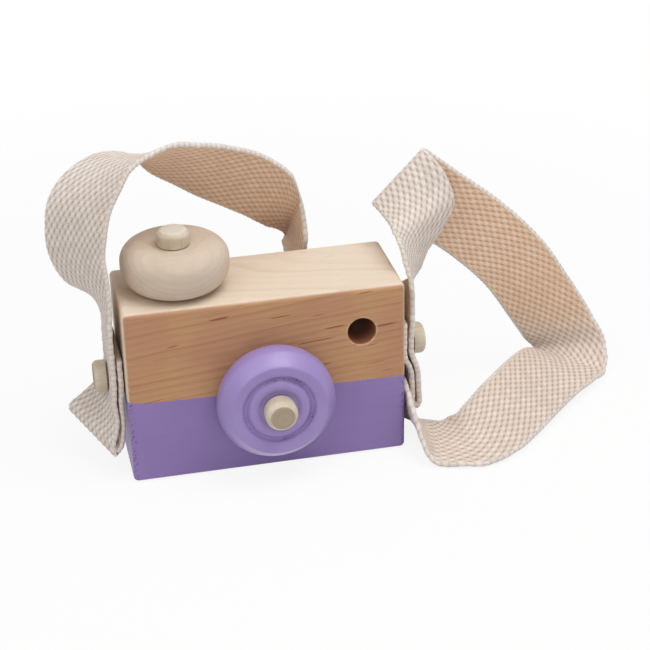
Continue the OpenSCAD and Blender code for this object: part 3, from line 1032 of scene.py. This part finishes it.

# %% [markdown]
# ## The lens wheel's finish: satin paint with dust and painted shade in the groove
# The wheel is dipped in the same lavender, a little paler, under a thin clear coat. The groove is
# darkened in patches, partly by dust and small specks and partly as painted shade in the recess.
# The groove is found by its distance from the turning axis, so the darkening stays in place when
# the wheel spins.

# %% Paint on the lens wheel
satin, tree, shader = new_finish("lens_satin_paint")
own = local_millimetres(tree)
tone = toned(tree, own, 14.0)
across, sideways, up = parts_of(tree, own)
groove_middle = 10.75
past_groove = sums(tree, "SUBTRACT", away_from_axis(tree, across, sideways), groove_middle)
in_groove = eased_step(tree, sums(tree, "ABSOLUTE", past_groove), 0.3, 1.7, 1.0, 0.0)
near_face = eased_step(tree, up, lens_thick - 3, lens_thick - 2)
patches = eased_step(tree, tone["Drift"], -0.1, 0.14, 0.15, 1.0)
# dust in the groove and painted shade for the recess, in patches
groove_dust_and_shade = times(tree, times(tree, in_groove, near_face), patches)
speck = times(tree, groove_dust_and_shade, eased_step(tree, tone["Mottle"], 0.04, 0.12))
coat = drifted(tree, tone, "#9985bf", "#9d89c2")
coat = mixed(tree, times(tree, groove_dust_and_shade, 0.55), coat, colour("#6f588f"))
coat = mixed(tree, times(tree, speck, 0.7), coat, colour("#4c3a6c"))
pits = times(tree, speck, -0.8)
relief(tree, shader, sums(tree, "ADD", tone["Mottle"], pits), 0.00006)
fill(tree, shader, {
    "Base Color": coat,
    "Roughness": sums(tree, "MULTIPLY_ADD", tone["Mottle"], 0.2, 0.34),
    "Specular IOR Level": 0.4,
    "Coat Weight": 0.15,
    "Coat Roughness": 0.28,
})
lens_piece.data.materials.append(satin)
print("finish:", satin.name, len(tree.nodes), "nodes")

# %% [markdown]
# ## The dial's finish: bare sanded wood
# A close-grained pale wood, sanded and left bare. Its grain runs across the wheel, so the rim
# shows long lines at the front and end grain at the sides, all of it faint.

# %% Bare wood on the dial
sanded, tree, shader = new_finish("dial_sanded_wood")
own = local_millimetres(tree)
wood = grained(tree, own, (0, 9, 30), (0.1, 0.05, 0), 1.7, 3.0)
tone = toned(tree, own, 12.0)
bare = drifted(tree, tone, "#d3c5b5", "#ccbba8")
bare = mixed(tree, times(tree, wood["Late wood"], 0.22), bare, colour("#b0967a"))
bare = mixed(tree, eased_step(tree, wood["Fibre"], 0.5, 0.8, 0.0, 0.25), bare, colour("#b39a80"))
relief(tree, shader, wood["Fibre"], 0.00004)
fill(tree, shader, {
    "Base Color": bare,
    "Roughness": sums(tree, "MULTIPLY_ADD", wood["Fibre"], 0.2, 0.5),
    "Specular IOR Level": 0.3,
})
dial_piece.data.materials.append(sanded)
print("finish:", sanded.name, len(tree.nodes), "nodes")


# %% [markdown]
# ## The pegs' finish: turned hardwood with end grain
# A peg is turned along the grain, so its sides show fine lines along its length and its cut end
# shows the year rings as circles. End grain drinks in the light, so the end is darker and greyer.
# The dial's peg, whose cut end faces up into the light, gets paler end grain as painted light, so
# one recipe makes two finishes.

# %% Bare wood on the pegs
def peg_finish(name, early_end, late_end):
    """Turned hardwood with fine lines along its sides and rings of two tones on its cut end."""
    finish, tree, shader = new_finish(name)
    own = local_millimetres(tree)
    wood = grained(tree, own, (0, 0.7, 0.5), (0, math.pi / 2, 0), 0.9, 0.8)
    tone = toned(tree, own, 5.0)
    cut_end = eased_step(tree, sums(tree, "ABSOLUTE", own_facing(tree)[2]), 0.85, 0.97)
    lines = eased_step(tree, wood["Fibre"], 0.45, 0.75, 0.0, 0.35)
    side = mixed(tree, lines, drifted(tree, tone, "#d6cbb9", "#cabca5"), colour("#ab977a"))
    end = mixed(tree, wood["Late wood"], colour(early_end), colour(late_end))
    rings = times(tree, wood["Late wood"], 0.5)
    relief(tree, shader, sums(tree, "ADD", wood["Fibre"], rings), 0.00005)
    fill(tree, shader, {
        "Base Color": mixed(tree, cut_end, side, end),
        "Roughness": sums(tree, "MULTIPLY_ADD", cut_end, 0.2, 0.5),
        "Specular IOR Level": 0.3,
    })
    print("finish:", finish.name, len(tree.nodes), "nodes")
    return finish


hardwood = peg_finish("peg_hardwood", "#ad9e88", "#9d8d75")
# painted light: the dial peg's end, facing up into the lamp, gets paler end grain
lit_end_hardwood = peg_finish("peg_hardwood_lit_end", "#dfd8cd", "#cdc3b4")
for node_name, peg in peg_pieces.items():
    peg.data.materials.append(lit_end_hardwood if node_name == "dial_peg" else hardwood)

# %% [markdown]
# ## The strap's finish: undyed cotton webbing
# The weave map counts bumps across and rows along, so the colour can follow the modelled bumps.
# From the two counts come the place on a yarn, the place in a row, and masks for the inner face
# and for the selvedges.

# %% Read the weave map
cotton, tree, shader = new_finish("cotton_webbing")
weave = put(tree, "ShaderNodeUVMap", {}, uv_map="weave").outputs[0]
bump_count, row_count, _ = parts_of(tree, weave)
inside = eased_step(tree, bump_count, inner_face_start - 4, inner_face_start - 3)
row_number = sums(tree, "FLOOR", row_count)
row_step = sums(tree, "FRACT", row_count)
odd_row = sums(tree, "MODULO", sums(tree, "ADD", row_number, inside), 2.0)
slant = times(tree, sums(tree, "SUBTRACT", row_step, 0.5), bump_slant * rings_per_row)
yarn = sums(tree, "ADD", sums(tree, "MULTIPLY_ADD", odd_row, 0.5, bump_count), slant)
first_edge = eased_step(tree, bump_count, -0.1, 0, 1.0, 0.0)
last_edge = soft_band(tree, bump_count, (bumps_across, bumps_across + 0.1),
                      (bumps_across + 2, bumps_across + 3))
selvedge = sums(tree, "ADD", first_edge, last_edge)
print("weave map read:", len(tree.nodes), "nodes")

# %% [markdown]
# The hollows are thin strokes between neighbouring yarns, which fade on the selvedges, and thin
# gaps between rows. Each yarn also gets a tone of its own and fine lines for the twist of its
# threads.

# %% Hollows, yarns and twist
yarn_wave = sums(tree, "COSINE", times(tree, yarn, 2 * math.pi))
yarn_swell = sums(tree, "MULTIPLY_ADD", yarn_wave, -0.5, 0.5)
row_swell = sums(tree, "SINE", times(tree, row_step, math.pi))
between_yarns = sums(tree, "POWER", sums(tree, "SUBTRACT", 1.0, yarn_swell), 2.0)
between_rows = sums(tree, "POWER", sums(tree, "SUBTRACT", 1.0, row_swell), 1.4)
stroke = times(tree, between_yarns, sums(tree, "POWER", row_swell, 0.6))
stroke = times(tree, stroke, eased_step(tree, selvedge, 0, 1, 0.85, 0.1))
row_gap = times(tree, between_rows, eased_step(tree, selvedge, 0, 1, 0.38, 0.42))
hollow = sums(tree, "MAXIMUM", stroke, row_gap)
yarn_number = put(tree, "ShaderNodeCombineXYZ", {0: sums(tree, "FLOOR", yarn), 1: row_number})
yarn_tone = put(tree, "ShaderNodeTexWhiteNoise", {"Vector": yarn_number.outputs[0]},
                noise_dimensions="2D").outputs["Value"]
twists_per_yarn, twist_lean = 4, 1.6
twist_place = sums(tree, "MULTIPLY_ADD", row_step, twist_lean, yarn)
twist = sums(tree, "SINE", times(tree, twist_place, twists_per_yarn * 2 * math.pi))
print("weave drawn:", len(tree.nodes), "nodes")

# %% [markdown]
# The crown of each yarn is cream, and the hollows between yarns and rows are painted tan, as shade
# in the weave. The face on the inside of the loops is painted a warmer tan, most of all high up, as
# painted warm shade for that face. Cotton is dull, with a faint sheen from its loose fibres, and a
# fine bump stands for the fuzz.

# %% Cotton colours and fuzz
own = local_millimetres(tree)
tone = toned(tree, own, 30.0)
# painted warm shade on the inner face of the loops, strongest high up
inner_face_shade = times(tree, inside, eased_step(tree, parts_of(tree, own)[2], 8, 30, 0.15, 1.0))
cream = mixed(tree, inner_face_shade, colour("#f1e9e3"), colour("#f0d6bc"))
tan = mixed(tree, inner_face_shade, colour("#aa937f"), colour("#bf9270"))
# painted shade: the hollows of the weave are coloured tan
cloth = mixed(tree, hollow, cream, tan)
cloth = mixed(tree, eased_step(tree, yarn_tone, 0, 1, 0.0, 0.16), cloth, tan)
cloth = mixed(tree, eased_step(tree, twist, -1, 1, 0.0, 0.08), cloth, tan)
cloth = mixed(tree, eased_step(tree, tone["Drift"], -0.25, 0.25, 0.0, 0.12), cloth, tan)
crown = sums(tree, "SUBTRACT", 1.0, hollow)
fuzz = sums(tree, "MULTIPLY_ADD", tone["Mottle"], 0.6, times(tree, twist, 0.12))
relief(tree, shader, sums(tree, "ADD", crown, fuzz), 0.00012)
fill(tree, shader, {
    "Base Color": cloth,
    "Roughness": 0.9,
    "Specular IOR Level": 0.15,
    "Sheen Weight": 0.12,
    "Sheen Roughness": 0.6,
})
neck_strap.data.materials.append(cotton)
print("finish:", cotton.name, len(tree.nodes), "nodes")

# %% [markdown]
# ## Light and floor
# A big soft lamp stands above and a little to the front right, a broader one in the upper left
# front stands for the sky, and a weak one fills from the front. Three large lamps at a plain
# level keep the shadows soft.

# %% Lamps
target = Vector((0.02, 0, 0.04))


def soft_lamp(name, at, side, watts, tint):
    """A square lamp that faces the object."""
    light = bpy.data.lights.new(name, "AREA")
    light.size = side
    light.energy = watts
    light.color = tint
    lamp = bpy.data.objects.new(name, light)
    lamp.matrix_world = standing_on(at, Vector(at) - target)
    bpy.context.scene.collection.objects.link(lamp)
    print(f"{name}: {watts} W from {at}")


soft_lamp("key_lamp", (0.2, -0.16, 0.78), 0.5, 3.6, (1, 0.99, 0.98))
soft_lamp("sky_lamp", (-0.50, -0.35, 0.75), 0.7, 2.2, (1, 0.99, 0.98))
soft_lamp("fill_lamp", (0.35, -1.0, 0.45), 0.9, 0.7, (1, 0.98, 0.96))
bpy.context.scene.view_settings.view_transform = "Standard"


# %% [markdown]
# The room itself gives an even pale light. Seen straight, in gloss or through glass it is white,
# but it lights the object with less than half of that, so pale cotton keeps its shade.

# %% The pale room
def seen_directly(tree):
    """1 for a ray that shows the surface as it is, 0 for one that only carries its light."""
    ray = put(tree, "ShaderNodeLightPath", {}).outputs
    in_gloss_or_glass = sums(tree, "MAXIMUM", ray["Is Glossy Ray"], ray["Is Transmission Ray"])
    return sums(tree, "MAXIMUM", ray["Is Camera Ray"], in_gloss_or_glass)


room_light = 0.40
room = bpy.data.worlds.new("pale_room")
bpy.context.scene.world = room
room.use_nodes = True
tree = room.node_tree
room_strength = eased_step(tree, seen_directly(tree), 0, 1, room_light, 1.0)
fill(tree, tree.nodes["Background"], {"Color": (1, 1, 1, 1), "Strength": room_strength})
print("room light", room_light)

# %% [markdown]
# The floor is white paper. To the camera it glows almost white, with a share of real shading left
# so that the shadow stays, and to the object it is plain paper. It lies a hair below the block,
# so the two faces don't meet.

# %% The paper floor
paper, tree, shader = new_finish("white_paper")
paper_white = (0.86, 0.86, 0.86, 1)
fill(tree, shader, {"Base Color": paper_white, "Roughness": 0.9, "Specular IOR Level": 0.0})
own = put(tree, "ShaderNodeTexCoord", {}).outputs["Object"]
distance = put(tree, "ShaderNodeVectorMath", {0: own}, operation="LENGTH").outputs["Value"]
white_share = eased_step(tree, distance, 0.12, 0.40, 0.88, 1.0)
glow_share = times(tree, seen_directly(tree), white_share)
glow = put(tree, "ShaderNodeEmission", {"Color": (1, 1, 1, 1), "Strength": 1.0}).outputs[0]
both = put(tree, "ShaderNodeMixShader", {0: glow_share, 1: shader.outputs[0], 2: glow}).outputs[0]
fill(tree, tree.nodes["Material Output"], {"Surface": both})
reach, floor_drop = 3.0, -0.0002
square = ((-1, -1), (1, -1), (1, 1), (-1, 1))
floor_corners = [(x * reach, y * reach, floor_drop) for x, y in square]
floor_mesh = bpy.data.meshes.new("paper_floor")
floor_mesh.from_pydata(floor_corners, [], [(0, 1, 2, 3)])
floor_mesh.materials.append(paper)
paper_floor = link_piece("paper_floor", floor_mesh)
print(f"paper floor {2 * reach:.0f} m wide")
